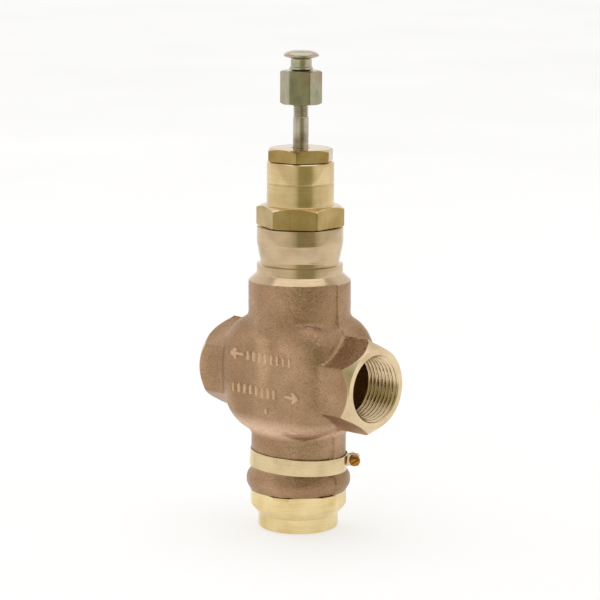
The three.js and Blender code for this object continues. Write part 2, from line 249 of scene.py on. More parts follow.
def block(low, high):
    """A rectangular block between two opposite corners."""
    points = [(x, y, z) for x in (low[0], high[0]) for y in (low[1], high[1]) for z in (low[2], high[2])]
    faces = [[0, 1, 3, 2], [4, 6, 7, 5], [0, 4, 5, 1], [2, 3, 7, 6], [0, 2, 6, 4], [1, 5, 7, 3]]
    return mesh_of(points, faces)


def tube_faces(rows, sides):
    """Faces of a closed tube whose points come ring by ring."""
    faces = []
    for i in range(rows - 1):
        low, high = i * sides, (i + 1) * sides
        faces += [[low + j, low + (j + 1) % sides, high + (j + 1) % sides, high + j] for j in range(sides)]
    faces.append(list(range(sides - 1, -1, -1)))
    faces.append([(rows - 1) * sides + j for j in range(sides)])
    return faces


def hex_bar(corner_r, low, high, azimuth, slot=0):
    """A hexagonal bar about Z with small round corners; azimuth is a corner's, from -Y towards +X."""
    round_r = 0.45
    outline = []
    for i in range(6):
        corner = math.radians(azimuth - 90 + 60 * i)
        centre_r = corner_r - round_r / math.cos(math.radians(30))
        for turn in (-30, -10, 10, 30):
            angle = corner + math.radians(turn)
            outline.append((centre_r * math.cos(corner) + round_r * math.cos(angle),
                            centre_r * math.sin(corner) + round_r * math.sin(angle)))
    points = [(x, y, z) for z in (low, high) for x, y in outline]
    return mesh_of(points, tube_faces(2, len(outline)), slot)


def spun_grid(axial, radius, slot=0):
    """A closed mesh about Z from a radius for each height and angle, such as a thread."""
    rows, sides = radius.shape
    angle = 2 * math.pi * np.arange(sides) / sides
    x = radius * np.cos(angle)
    y = radius * np.sin(angle)
    z = np.repeat(axial[:, None], sides, 1)
    points = np.stack([x, y, z], 2).reshape(-1, 3)
    return mesh_of(points.tolist(), tube_faces(rows, sides), slot)


def thread_wave(axial, sides, pitch):
    """For each height and angle, 0 at a thread's crest and 1 at its root."""
    turn = np.arange(sides) / sides
    phase = (axial[:, None] / pitch + turn[None, :]) % 1.0
    return smoothstep(np.abs(phase - 0.5) * 2 * 1.2 - 0.1)


def boolean(mesh, other, operation):
    """The mesh joined with, cut by or kept inside the other one."""
    one = bpy.data.objects.new("one", mesh)
    two = bpy.data.objects.new("two", other)
    for each in (one, two):
        bpy.context.scene.collection.objects.link(each)
        while len(each.data.materials) < SLOT_COUNT:
            each.data.materials.append(None)
    modifier = one.modifiers.new("boolean", "BOOLEAN")
    modifier.operation = operation
    modifier.object = two
    modifier.solver = "MANIFOLD"
    result = bpy.data.meshes.new_from_object(one.evaluated_get(bpy.context.evaluated_depsgraph_get()))
    for each in (one, two):
        bpy.data.objects.remove(each)
    slots = [face.material_index for face in result.polygons]
    result.materials.clear()
    result.polygons.foreach_set("material_index", slots)
    return result


def cut(mesh, *tools):
    for tool in tools:
        mesh = boolean(mesh, tool, "DIFFERENCE")
    return mesh


def join(mesh, *others):
    for other in others:
        mesh = boolean(mesh, other, "UNION")
    return mesh


def within(mesh, envelope):
    return boolean(mesh, envelope, "INTERSECT")


def shade(mesh, angle=30.0, smooth_slot=None):
    """Smooth shading with creases at sharp angles; faces of smooth_slot get creases only at their border."""
    edit = bmesh.new()
    edit.from_mesh(mesh)
    bmesh.ops.remove_doubles(edit, verts=edit.verts, dist=1e-4)
    limit = math.radians(angle)
    for face in edit.faces:
        face.smooth = True
    for edge in edit.edges:
        if len(edge.link_faces) != 2:
            continue
        slots = {face.material_index for face in edge.link_faces}
        if len(slots) == 2:
            edge.smooth = False
        elif slots != {smooth_slot}:
            edge.smooth = edge.calc_face_angle(0.0) < limit
    edit.to_mesh(mesh)
    edit.free()
    return mesh


def along_port(mesh, side):
    """Lays a mesh made about Z along the port axis, towards +X (side 1) or -X (side -1)."""
    mesh.transform(Matrix.Translation((0, 0, PORT_Z)) @ Matrix.Rotation(math.radians(90 * side), 4, "Y"))
    return mesh


def smoothstep(t):
    t = np.clip(t, 0, 1)
    return t * t * (3 - 2 * t)


# ---- cast skin: a distance field turned into a fine mesh ----
def merge(a, b, k):
    """Union of two distances with a fillet of about k."""
    h = np.clip(0.5 + 0.5 * (b - a) / k, 0, 1)
    return b * (1 - h) + a * h - k * h * (1 - h)


def value_noise(x, y, z, scale, seed):
    """Smooth noise from -1 to 1 in cells of the given size; it repeats after count cells."""
    count, offset = 32, 500
    lattice = np.random.default_rng(seed).uniform(-1, 1, (count, count, count)).astype(np.float32)
    cells = []
    parts = []
    for value in (x, y, z):
        value = np.asarray(value) / scale + offset
        base = np.floor(value)
        cells.append(base.astype(int))
        parts.append(smoothstep(value - base))
    total = 0
    for i in (0, 1):
        for j in (0, 1):
            for k in (0, 1):
                weight = (parts[0] if i else 1 - parts[0]) * (parts[1] if j else 1 - parts[1])
                weight = weight * (parts[2] if k else 1 - parts[2])
                corner = lattice[(cells[0] + i) % count, (cells[1] + j) % count, (cells[2] + k) % count]
                total = total + weight * corner
    return total


def capsule(x, z, start, end, radius):
    """Flat distance to a stroke with round ends."""
    ax, az = start
    bx, bz = end[0] - ax, end[1] - az
    t = np.clip(((x - ax) * bx + (z - az) * bz) / (bx * bx + bz * bz), 0, 1)
    return np.hypot(x - ax - t * bx, z - az - t * bz) - radius


def cast_marks(x, z):
    """Flat distance to the plain raised marks: two flow arrows, two rows of bars and a short stroke."""
    strokes = []
    for tip_x, mark_z, way in ((-17.6, UPPER_MARKS_Z, -1), (18.4, LOWER_MARKS_Z, 1)):
        strokes.append(((tip_x, mark_z), (tip_x - ARROW_LENGTH * way, mark_z)))
        for rise in (-BARB_RISE, BARB_RISE):
            strokes.append(((tip_x, mark_z), (tip_x - BARB_LENGTH * way, mark_z + rise)))
    for first_x, mark_z in ((-8.4, UPPER_MARKS_Z), (-16.6, LOWER_MARKS_Z)):
        for i in range(BAR_COUNT):
            bar_x = first_x + BAR_STEP * i
            strokes.append(((bar_x, mark_z - BAR_HALF), (bar_x, mark_z + BAR_HALF)))
    strokes.append(((1.6, 50.3), (1.6, 51.5)))
    distance = np.inf
    for start, end in strokes:
        distance = np.minimum(distance, capsule(x, z, start, end, MARK_STROKE_R))
    return distance


def waist_field(x, y, z):
    """The rounded waist: a thick plate across Y, its outline between an oval and a rectangle."""
    flat_r = GLOBE_HALF[2] - GLOBE_EDGE_R
    flat_t = GLOBE_HALF[1] - GLOBE_EDGE_R
    along_x = np.abs(x * GLOBE_HALF[2] / GLOBE_HALF[0]) ** GLOBE_SQUARENESS
    along_z = np.abs(z - GLOBE_Z) ** GLOBE_SQUARENESS
    out_r = (along_x + along_z) ** (1 / GLOBE_SQUARENESS) - flat_r
    out_t = np.abs(y) - flat_t
    plate = np.hypot(np.maximum(out_r, 0), np.maximum(out_t, 0))
    return plate + np.minimum(np.maximum(out_r, out_t), 0) - GLOBE_EDGE_R


def port_field(x, y, z):
    """The hexagonal bar along X that both ports are made from."""
    down = z - PORT_Z
    cos_60, sin_60 = 0.5, 0.866
    slabs = (np.abs(y), np.abs(cos_60 * y + sin_60 * down), np.abs(cos_60 * y - sin_60 * down))
    hexagon = -merge(-slabs[0], merge(-slabs[1], -slabs[2], 0.5), 0.5) - HEX_APOTHEM
    return np.maximum(hexagon, np.abs(x) - FACE_X - 1.2)


def skin_field(x, y, z):
    """Distance to the raw casting, before any machining."""
    x = x - MOULD_SHIFT * np.tanh(y / 0.35)
    about_stem = np.hypot(x, y)

    upper_end, lower_end = 56, 60
    upper = np.maximum(np.maximum(about_stem - UPPER_NECK_R, z - SHOULDER_Z - 4), upper_end - z)
    lower = np.maximum(np.maximum(about_stem - LOWER_NECK_R, z - lower_end), BODY_BOTTOM - z)
    across, along = BEAD_HALF
    bead = np.hypot((about_stem - BEAD_R + across) / across, (z - BEAD_Z) / along) - 1
    bead = np.maximum(across * bead, BODY_BOTTOM - z)

    body = merge(waist_field(x, y, z), upper, 1.6)
    body = merge(body, lower, 1.8)
    body = merge(body, bead, 1.2)
    body = merge(body, port_field(x, y, z), 1.2)
    ragged = FLASH_HEIGHT + 0.25 * value_noise(x, y, z, 3.0, 7)
    flash = np.maximum(body - ragged, np.abs(y) - FLASH_HALF_WIDTH)
    body = merge(body, flash, 0.4)

    face = -GLOBE_HALF[1]
    marks = np.maximum(cast_marks(x, z), np.maximum(y - face - 2.5, face - MARK_HEIGHT - y))
    body = merge(body, marks, 0.35)
    return body + 0.10 * value_noise(x, y, z, 6.0, 3) + 0.05 * value_noise(x, y, z, 2.2, 5)


def surface_net(field, origin, step):
    """Quads on the zero level of a sampled field, one point in each cell that the surface crosses."""
    size = np.array(field.shape)
    cells = tuple(size - 1)
    total = np.zeros(cells + (3,), np.float32)
    count = np.zeros(cells, np.float32)
    crossings = []
    for axis in range(3):
        a = field[tuple(slice(0, -1) if d == axis else slice(None) for d in range(3))]
        b = field[tuple(slice(1, None) if d == axis else slice(None) for d in range(3))]
        crossed = (a < 0) != (b < 0)
        edge = np.argwhere(crossed)
        share = a[crossed] / (a[crossed] - b[crossed])
        point = edge.astype(np.float32)
        point[:, axis] += share
        others = [d for d in range(3) if d != axis]
        for back_0 in (0, 1):
            for back_1 in (0, 1):
                cell = edge.copy()
                cell[:, others[0]] -= back_0
                cell[:, others[1]] -= back_1
                np.add.at(total, tuple(cell.T), point)
                np.add.at(count, tuple(cell.T), 1)
        crossings.append((edge, a[crossed] < 0, others, axis))
    used = count > 0
    number = np.full(cells, -1)
    number[used] = np.arange(used.sum())
    points = origin + step * total[used] / count[used][:, None]
    quads = []
    for edge, inside_first, others, axis in crossings:
        ring = []
        for back_0, back_1 in ((0, 0), (1, 0), (1, 1), (0, 1)):
            cell = edge.copy()
            cell[:, others[0]] -= back_0
            cell[:, others[1]] -= back_1
            ring.append(number[tuple(cell.T)])
        quad = np.stack(ring, 1)
        forward = inside_first if axis != 1 else ~inside_first
        quad[~forward] = quad[~forward][:, ::-1]
        quads.append(quad)
    return points, np.concatenate(quads)


def cast_skin():
    """The raw casting as a fine mesh."""
    low = np.array([-FACE_X - 2.5, -24.0, BODY_BOTTOM - 1.5])
    high = np.array([FACE_X + 2.5, 24.0, SHOULDER_Z + 5.5])
    x, y, z = (np.arange(a, b, SKIN_STEP, dtype=np.float32) for a, b in zip(low, high))
    field = skin_field(x[:, None, None], y[None, :, None], z[None, None, :])
    points, quads = surface_net(field, low, SKIN_STEP)
    return mesh_of(points, quads.tolist())


# ---- machined surfaces of the body ----
def collar():
    """The turned collar that an actuator clamps on."""
    profile = [(0, SHOULDER_Z - 8), (COLLAR_R, SHOULDER_Z - 8), (COLLAR_R, 108.3), (COLLAR_GROOVE_R, 108.6),
               (COLLAR_GROOVE_R, 110.3), (COLLAR_GROOVE_R + 0.24, 110.8), (COLLAR_R, 117.3),
               (COLLAR_R, COLLAR_TOP), (0, COLLAR_TOP)]
    return turned(soften(profile, 0.18), slot=1)


def shoulder_tool():
    """Cuts the sloping shoulder where the collar's turning ends."""
    inner, outer = COLLAR_R - 0.05, 30
    profile = [(inner, 104.62), (UPPER_NECK_R + 2.0, SHOULDER_Z - 1.8), (outer, SHOULDER_Z - 1.8),
               (outer, 112), (inner, 112)]
    return turned(profile, slot=1, closed=True)


def corner_tool(side):
    """Cuts the port's flat face and the cone across the corners of its hexagon."""
    outer = 26
    back = FACE_X - CORNER_CUT / CORNER_SLOPE
    front = FACE_X + 6
    profile = [(0, FACE_X), (FACE_RING_R, FACE_X), (FACE_RING_R + CORNER_CUT, back), (outer, back),
               (outer, front), (0, front)]
    return along_port(turned(profile, MIDDLE_SIDES, slot=2), side)


def thread_tool(side):
    """A tapered male thread with a chamfer at its mouth: it cuts the socket."""
    low, high = THREAD_END_X, FACE_X + 1.5
    rows_per_turn, sides = 12, 144
    axial = np.linspace(low, high, int((high - low) / THREAD_PITCH * rows_per_turn) + 1)
    inward = (FACE_X - axial)[:, None]
    radius = THREAD_R - inward * THREAD_TAPER - THREAD_DEPTH * thread_wave(axial, sides, THREAD_PITCH)
    radius = np.maximum(radius, MOUTH_R - np.maximum(inward, 0))
    return along_port(spun_grid(axial, radius, slot=2), side)


def pocket_tool(side):
    """The open space in the casting behind the socket's thread."""
    outer = THREAD_END_X + 0.4
    profile = soften([(0, POCKET_X), (POCKET_R, POCKET_X), (POCKET_R, outer), (0, outer)], 1.5, 6)
    return along_port(turned(profile, SMALL_SIDES), side)


def window_tool(side, low, high):
    """The window from a pocket into its chamber."""
    start, end = sorted((side * (POCKET_X - 5), side * (POCKET_X + 1)))
    half = WINDOW_WIDTH / 2
    return block((start, -half, low), (end, half, high))


def bore_tool():
    """Both chambers, the bridge between them and the bores of the bonnet and the bottom plug."""
    low, high = BODY_BOTTOM - 1, 125
    throat_r = NECK_BORE_R - 0.8
    return turned([
        (0, low), (PLUG_BORE_R, low), (PLUG_BORE_R, LEDGE_LOW), (CHAMBER_R, LEDGE_LOW),
        (CHAMBER_R, BRIDGE_LOW), (BRIDGE_BORE_R, BRIDGE_LOW), (BRIDGE_BORE_R, BRIDGE_HIGH),
        (CHAMBER_R, BRIDGE_HIGH), (CHAMBER_R, 99), (throat_r, 101), (throat_r, LEDGE_HIGH),
        (NECK_BORE_R, LEDGE_HIGH), (NECK_BORE_R, high), (0, high),
    ], BORE_SIDES)


def valve_body(materials):
    """The casting; its slots are the raw skin, the turned collar and the machined ports."""
    mesh = cut(cast_skin(), shoulder_tool())
    mesh = join(mesh, collar())
    mesh = cut(mesh, *(corner_tool(side) for side in (1, -1)), bore_tool())
    inlet_window = window_tool(-1, PORT_Z - WINDOW_REACH, BRIDGE_LOW - 0.5)
    outlet_window = window_tool(1, BRIDGE_HIGH + 0.5, PORT_Z + WINDOW_REACH)
    mesh = cut(mesh, *(pocket_tool(side) for side in (1, -1)), inlet_window, outlet_window)
    mesh = shade(cut(mesh, *(thread_tool(side) for side in (1, -1))), 30, smooth_slot=0)
    place("valve_body_casting", mesh, materials, "valve_body", "housing")


# ---- bottom plug, bonnet and gland ----
def bottom_plug(materials):
    """Hexagon on a round boss, with a spigot into the body and a pocket from above."""
    edge = [(0, 0), (PLUG_R - 0.6, 0), (PLUG_R, 0.6), (PLUG_R, 5.7), (PLUG_R + 0.4, 6.2)]
    blank = turned(soften(edge + [(19.5, 9.6), (19.5, PLUG_HEX_TOP), (0, PLUG_HEX_TOP)]))
    boss = turned(soften(edge + [(17.4, 7.0), (0, 7.1)]))
    head = join(within(hex_bar(21.2, -1, PLUG_HEX_TOP, 21), blank), boss)
    head = join(head, rod(PLUG_BORE_R - GAP, PLUG_HEX_TOP - 1.4, LEDGE_LOW - 1.5))
    head = cut(head, rod(11.5, 4.5, LEDGE_LOW + 1.5))
    place("bottom_plug_turned", shade(head, 25), materials, "bottom_plug", "housing")


def bonnet(materials):
    """Turned barrel on a hexagon of drawn bar, bored for the guide and the packing."""
    ledge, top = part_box("bonnet_gasket")[0].z / MM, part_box("bonnet")[1].z / MM
    low, high, corner = COLLAR_TOP + GAP, BONNET_HEX_TOP, BONNET_HEX_R
    blank = turned(soften([(0, low), (corner - 0.65, low), (corner, low + 0.4), (corner, high - 1.3),
                           (corner - 2.45, high), (0, high)]))
    head = within(hex_bar(corner, low - 1, high + 1, 5, slot=1), blank)
    root_r, line, line_r = BONNET_R + 1.1, BONNET_LINE_Z, BONNET_R - 0.28
    barrel = turned(soften([
        (0, low + 1), (root_r, low + 1), (root_r, high - 0.1), (BONNET_R + 0.25, high + 0.25),
        (BONNET_R, high + 0.7), (BONNET_R, line - 0.3), (line_r, line - 0.15), (line_r, line + 0.15),
        (BONNET_R, line + 0.3), (BONNET_R, top - 0.5), (BONNET_R - 0.5, top), (0, top),
    ], 0.12))
    spigot = rod(NECK_BORE_R - GAP, ledge + 1.7, low + 1)
    guide_r, stem_hole_r, gland_r = 6.3, 3.8, GLAND_THREAD_R + GAP
    packing_floor = 127.3
    bores = turned([
        (0, ledge - 1.4), (guide_r, ledge - 1.4), (guide_r, 125.7), (stem_hole_r, 126),
        (stem_hole_r, packing_floor), (PACKING_BORE_R, packing_floor), (PACKING_BORE_R, GLAND_THREAD_LOW),
        (gland_r, GLAND_THREAD_LOW), (gland_r, top + 1), (0, top + 1),
    ], BORE_SIDES)
    mesh = cut(join(head, barrel, spigot), bores)
    place("bonnet_turned", shade(mesh, 25), materials, "bonnet", "housing")


def chamfered_hex(corner_r, low, high, azimuth, chamfers, slot=0):
    """A hexagon with turned chamfers; chamfers gives (radial, axial) cuts for its two ends."""
    (low_r, low_z), (high_r, high_z) = chamfers
    profile = [(0, low), (corner_r - low_r, low), (corner_r, low + low_z), (corner_r, high - high_z),
               (corner_r - high_r, high), (0, high)]
    blank = turned(soften(profile, 0.12), MIDDLE_SIDES)
    return within(hex_bar(corner_r, low - 1, high + 1, azimuth, slot), blank)


def gland_nut(materials):
    """Hexagon of drawn bar on a turned spigot."""
    low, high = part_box("gland_nut")[0].z / MM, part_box("gland_nut")[1].z / MM
    hex_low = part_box("bonnet")[1].z / MM + GAP
    head = chamfered_hex(14, hex_low, high, 35.5, ((0.6, 0.4), (1.9, 1.0)), slot=1)
    spigot = rod(GLAND_THREAD_R, low, hex_low + 1.2)
    mouth_r = 4.1
    bore = turned(soften([(0, low - 1), (STEM_BORE_R, low - 1), (STEM_BORE_R, high - 0.5), (mouth_r, high),
                          (mouth_r, high + 1), (0, high + 1)]), SMALL_SIDES)
    mesh = cut(join(head, spigot), bore)
    place("gland_nut_turned", shade(mesh, 25), materials, "gland_nut", "gland")


# ---- stem, coupling nut and button ----
def stem(materials):
    """Ground rod with a shoulder over the valve plug and a screw thread at its top."""
    low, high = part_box("stem")[0].z / MM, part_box("stem")[1].z / MM
    shoulder_z, shoulder_r = 88.3, 4.4
    below = [(low, 2.7), (low + 0.5, STEM_R), (shoulder_z, STEM_R), (shoulder_z + 0.01, shoulder_r),
             (91, shoulder_r), (92.2, STEM_R)]
    above = [(high - 0.5, 2.75), (high, 2.3)]
    fine = np.arange(STEM_THREAD_LOW, high - 0.6, 0.07)
    depth = STEM_THREAD_DEPTH * smoothstep((fine - STEM_THREAD_LOW - 0.6) / 1.2)[:, None]
    threaded = STEM_R - 0.06 - depth * thread_wave(fine, STEM_SIDES, STEM_PITCH)
    axial = np.array([z for z, _ in below] + fine.tolist() + [z for z, _ in above])
    plain, tip = (np.repeat([[r] for _, r in rows], STEM_SIDES, 1) for rows in (below, above))
    mesh = spun_grid(axial, np.concatenate([plain, threaded, tip]))
    place("stem_threaded", shade(mesh, 35), materials, "stem", "stem_assembly")


def coupling_nut(materials):
    """Long hexagon nut, its bore countersunk at both ends."""
    low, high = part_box("coupling_nut")[0].z / MM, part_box("coupling_nut")[1].z / MM
    head = chamfered_hex(8.46, low, high, 8, ((1.15, 0.6), (1.15, 0.6)))
    mouth_r = 4.0
    profile = [(0, low - 1), (mouth_r, low - 1), (mouth_r, low), (STEM_BORE_R, low + 0.5),
               (STEM_BORE_R, high - 0.5), (mouth_r, high), (mouth_r, high + 1), (0, high + 1)]
    mesh = shade(cut(head, turned(soften(profile), SMALL_SIDES)), 25)
    place("coupling_nut_plated", mesh, materials, "coupling_nut", "coupling")


def stem_button(materials):
    """Turned button: a shank, a collar, a waist and a domed head."""
    low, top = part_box("stem_button")[0].z / MM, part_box("stem_button")[1].z / MM
    collar_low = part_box("coupling_nut")[1].z / MM + GAP
    profile = [(0, low), (STEM_R - 0.3, low), (STEM_R, low + 0.5), (STEM_R, collar_low), (4.7, collar_low),
               (4.7, 186.9), (4.2, 187.3), (4.2, 190.2), (4.7, 190.6), (6.7, 191.05), (7.2, 191.6),
               (6.85, 192.2), (5.6, 193.0), (3.6, top - 0.12), (1.6, top), (0, top)]
    mesh = turned(soften(profile, 0.3, 3), BORE_SIDES)
    place("stem_button_turned", shade(mesh, 25), materials, "stem_button", "button")


# ---- strap round the lower neck ----
def on_neck(mesh):
    """Tilts and turns a mesh made in the strap's own frame, ears at +X, to its place on the neck."""
    mesh.transform(Matrix.Translation((0, 0, STRAP_Z)) @ Matrix.Rotation(math.radians(STRAP_TURN), 4, "Z")
                   @ Matrix.Rotation(math.radians(STRAP_TILT), 4, "Y"))
    return mesh


def on_screw_axis(mesh):
    """Lays a mesh made about Z along the strap's screw, head end at -Y, in the strap's own frame."""
    mesh.transform(Matrix.Translation((SCREW_X, 0, 0)) @ Matrix.Rotation(math.radians(90), 4, "X"))
    return mesh


def screw_hole():
    return rod(SCREW_HOLE_R, -9, 9, 40)


def strap_path():
    """Middle line of the strap as (x, y, outward x, outward y, thickness, width), from ear to ear."""
    middle = STRAP_R + STRAP_T / 2
    bend_r = 0.55
    ear_width = STRAP_WIDTH - EAR_NARROWING
    rise = EAR_GAP / 2 + STRAP_T
    ear = []
    for x in np.linspace(STRAP_R + 0.2 + EAR_LENGTH, middle + bend_r + 0.35, 8):
        ear.append((x, rise, 0.0, -1.0, 2 * STRAP_T, ear_width))
    corner_y = rise + bend_r
    for angle in np.radians(np.arange(15, 90, 15)):
        share = math.degrees(angle) / 90
        x = middle + bend_r + 0.2 * (1 - share) - bend_r * math.sin(angle)
        y = corner_y - bend_r * math.cos(angle)
        width = ear_width + EAR_NARROWING * share
        ear.append((x, y, math.sin(angle), -math.cos(angle), STRAP_T * (2 - share), width))
    first = math.asin((corner_y + 0.25) / middle)
    ring = []
    for angle in np.linspace(first, 2 * math.pi - first, 180):
        out_x, out_y = math.cos(angle), math.sin(angle)
        ring.append((middle * out_x, middle * out_y, out_x, out_y, STRAP_T, STRAP_WIDTH))
    back = [(x, -y, out_x, -out_y, t, w) for x, y, out_x, out_y, t, w in reversed(ear)]
    return ear + ring + back


def strap_band(materials):
    """Thin strip swept along the strap's path, with a hole for the screw in both ears."""
    path = strap_path()
    points = []
    bevel = 0.12
    for x, y, out_x, out_y, thick, width in path:
        t, w = thick / 2, width / 2
        section = [(t - bevel, -w), (t, -w + bevel), (t, w - bevel), (t - bevel, w),
                   (bevel - t, w), (-t, w - bevel), (-t, bevel - w), (bevel - t, -w)]
        points += [(x + out_x * o, y + out_y * o, z) for o, z in section]
    mesh = mesh_of(points, tube_faces(len(path), len(points) // len(path)))
    edit = bmesh.new()
    edit.from_mesh(mesh)
    bmesh.ops.recalc_face_normals(edit, faces=edit.faces)
    edit.to_mesh(mesh)
    edit.free()
    mesh = cut(mesh, on_screw_axis(screw_hole()))
    place("strap_band_bent", shade(on_neck(mesh), 30), materials, "strap_band", "housing")


def strap_screw(materials):
    """Slotted round head on a plain shank."""
    face, head_r = EAR_FACE, 2.2
    head = turned(soften([(0, face), (head_r, face), (head_r, face + 1.2), (1.9, face + 1.65),
                          (1.2, face + 1.85), (0, face + 1.9)]), SMALL_SIDES)
    slot = block((-3, -0.3, face + 1.1), (3, 0.3, face + 3))
    slot.transform(Matrix.Rotation(math.radians(35), 4, "Z"))
    low, high = -EAR_FACE - 3, face + 0.5
    shank = turned([(0, low), (SCREW_R - 0.2, low), (SCREW_R, low + 0.3), (SCREW_R, high), (0, high)], 48)
    mesh = shade(on_neck(on_screw_axis(join(cut(head, slot), shank))), 30)
    place("strap_screw_slotted", mesh, materials, "strap_screw", "clamp_screw")


def strap_nut(materials):
    """Small hexagon nut behind the far ear."""
    head = chamfered_hex(2.5, -EAR_FACE - 1.9, -EAR_FACE, 0, ((0.25, 0.2), (0.25, 0.2)))
    mesh = shade(on_neck(on_screw_axis(cut(head, screw_hole()))), 25)
    place("strap_nut_hex", mesh, materials, "strap_nut", "housing")


# ---- materials ----
METAL = 1.0
NOT_METAL = 0.0
ROUND_STEM = (0.02, 0.02, 1)                  # lines of turning about the stem's axis
ROUND_PORT = (1, 0.02, 0.02)                  # lines of turning about the ports' axis
DRAWN_BAR = (1, 1, 0.03)                      # lines along an upright bar
PAINTED_FLOOR_LIGHT_Z = (39, 48)                      # heights between which the casting is painted paler, as painted light from the floor
MIX_FIRST, MIX_SECOND, MIX_RESULT = 6, 7, 2   # a mix node's sockets for colours


def srgb(r, g, b):
    """A linear colour from 0-255 display values."""
    linear = [v / 255 / 12.92 if v < 11 else ((v / 255 + 0.055) / 1.055) ** 2.4 for v in (r, g, b)]
    return (*linear, 1)


class Surface:
    """A node material on object coordinates, built up step by step."""

    def __init__(self, name, metallic):
        self.material = bpy.data.materials.new(name)
        self.material.use_nodes = True
        self.nodes = self.material.node_tree.nodes
        self.links = self.material.node_tree.links
        self.shader = self.nodes["Principled BSDF"]
        self.shader.inputs["Metallic"].default_value = metallic
        self.place = self.nodes.new("ShaderNodeTexCoord").outputs["Object"]
        self.relief = None

    def noise(self, scale, detail=4, stretch=(1, 1, 1)):
        """Noise with about that many cells per metre; a stretch below 1 draws it out along that axis."""
        mapping = self.nodes.new("ShaderNodeMapping")
        mapping.inputs["Scale"].default_value = [scale * s for s in stretch]
        self.links.new(self.place, mapping.inputs["Vector"])
        texture = self.nodes.new("ShaderNodeTexNoise")
        texture.inputs["Scale"].default_value = 1
        texture.inputs["Detail"].default_value = detail
        self.links.new(mapping.outputs["Vector"], texture.inputs["Vector"])
        return texture.outputs["Fac"]

    def ramp(self, factor, stops):
        """Colours at places from 0 to 1 along a factor."""
        ramp = self.nodes.new("ShaderNodeValToRGB")
        elements = ramp.color_ramp.elements
        while len(elements) < len(stops):
            elements.new(0.5)
        for element, (position, colour) in zip(elements, stops):
            element.position = position
            element.color = colour
        self.links.new(factor, ramp.inputs["Fac"])
        return ramp.outputs["Color"]

    def colour(self, socket):
        self.links.new(socket, self.shader.inputs["Base Color"])

    def mix(self, first, second, factor, blend="MIX"):
        """The first colour where the factor is 0, blended with the second where it is 1."""
        mix = self.nodes.new("ShaderNodeMix")
        mix.data_type = "RGBA"
        mix.blend_type = blend
        self.links.new(factor, mix.inputs["Factor"])
        self.links.new(first, mix.inputs[MIX_FIRST])
        self.links.new(second, mix.inputs[MIX_SECOND])
        return mix.outputs[MIX_RESULT]

    def roughness(self, factor, low, high):
        """Roughness between two limits, from the middle range of a noise."""
        span = self.nodes.new("ShaderNodeMapRange")
        span.inputs["From Min"].default_value = 0.3
        span.inputs["From Max"].default_value = 0.7
        span.inputs["To Min"].default_value = low
        span.inputs["To Max"].default_value = high
        self.links.new(factor, span.inputs["Value"])
        self.links.new(span.outputs["Result"], self.shader.inputs["Roughness"])

    def along(self, axis, start, end):
        """A value that rises from 0 to 1 between two places along an axis, in millimetres."""
        parts = self.nodes.new("ShaderNodeSeparateXYZ")
        self.links.new(self.place, parts.inputs["Vector"])
        span = self.nodes.new("ShaderNodeMapRange")
        span.inputs["From Min"].default_value = start * MM
        span.inputs["From Max"].default_value = end * MM
        self.links.new(parts.outputs[axis], span.inputs["Value"])
        return span.outputs["Result"]

    def bump(self, factor, depth):
        """Relief of that depth in millimetres, on top of the relief so far."""
        bump = self.nodes.new("ShaderNodeBump")
        bump.inputs["Distance"].default_value = depth * MM
        bump.inputs["Strength"].default_value = 1.0
        self.links.new(factor, bump.inputs["Height"])
        if self.relief:
            self.links.new(self.relief, bump.inputs["Normal"])
        self.relief = bump.outputs["Normal"]
        self.links.new(self.relief, self.shader.inputs["Normal"])


def cast_bronze():
    """Blasted casting: matt, grainy, painted paler on the raised marks (a painted highlight) and under the
    waist (painted light from the floor).
    """
    surface = Surface("bronze_cast_painted_light", METAL)
    patches = surface.noise(70, 3)
    grain = surface.noise(2600, 5)
    base = surface.ramp(patches, [(0.35, srgb(168, 135, 103)), (0.55, srgb(181, 148, 115)),
                                  (0.7, srgb(198, 160, 132))])
    speck = surface.ramp(grain, [(0.3, srgb(118, 104, 92)), (0.55, srgb(254, 253, 252))])
    blotched = surface.mix(base, speck, surface.noise(900, 2), "MULTIPLY")

    # Painted highlight: the tops of the raised marks are painted paler, as if lit.
    mark_highlight_mask = surface.along("Y", -GLOBE_HALF[1] - 0.12, -GLOBE_HALF[1] - MARK_HEIGHT)
    painted_mark_tops = surface.ramp(grain, [(0.35, srgb(190, 155, 121)), (0.65, srgb(222, 188, 152))])
    with_mark_highlight = surface.mix(blotched, painted_mark_tops, mark_highlight_mask)

    none, full = srgb(0, 0, 0), srgb(255, 255, 255)
    # Painted light: a band under the waist, lower hexagon flats included, is painted paler as if lit from
    # the floor.
    height = surface.along("Z", *PAINTED_FLOOR_LIGHT_Z)
    painted_floor_light_mask = surface.ramp(height, [(0, none), (0.3, full), (0.5, full), (1, none)])
    pale = surface.ramp(grain, [(0.3, srgb(196, 162, 134)), (0.6, srgb(230, 196, 168))])
    surface.colour(surface.mix(with_mark_highlight, pale, painted_floor_light_mask))

    surface.roughness(surface.noise(1500, 4), 0.28, 0.5)
    surface.bump(surface.noise(720, 3), 0.34)
    surface.bump(grain, 0.1)
    return surface.material


def machined(name, colours, stretch, rough=(0.1, 0.18), depth=0.003):
    """Metal with fine lines along the axes where stretch is small; colours are dark, middle and light."""
    surface = Surface(name, METAL)
    tarnish = surface.noise(110, 4)
    lines = surface.noise(3200, 3, stretch)
    dark, middle, light = (srgb(*colour) for colour in colours)
    base = surface.ramp(tarnish, [(0.3, dark), (0.5, middle), (0.68, light)])
    streak = surface.ramp(lines, [(0.25, srgb(225, 222, 218)), (0.6, srgb(255, 255, 255))])
    surface.colour(surface.mix(base, streak, surface.noise(300, 2), "MULTIPLY"))
    surface.roughness(surface.noise(500, 4), *rough)
    surface.bump(lines, depth)
    return surface.material


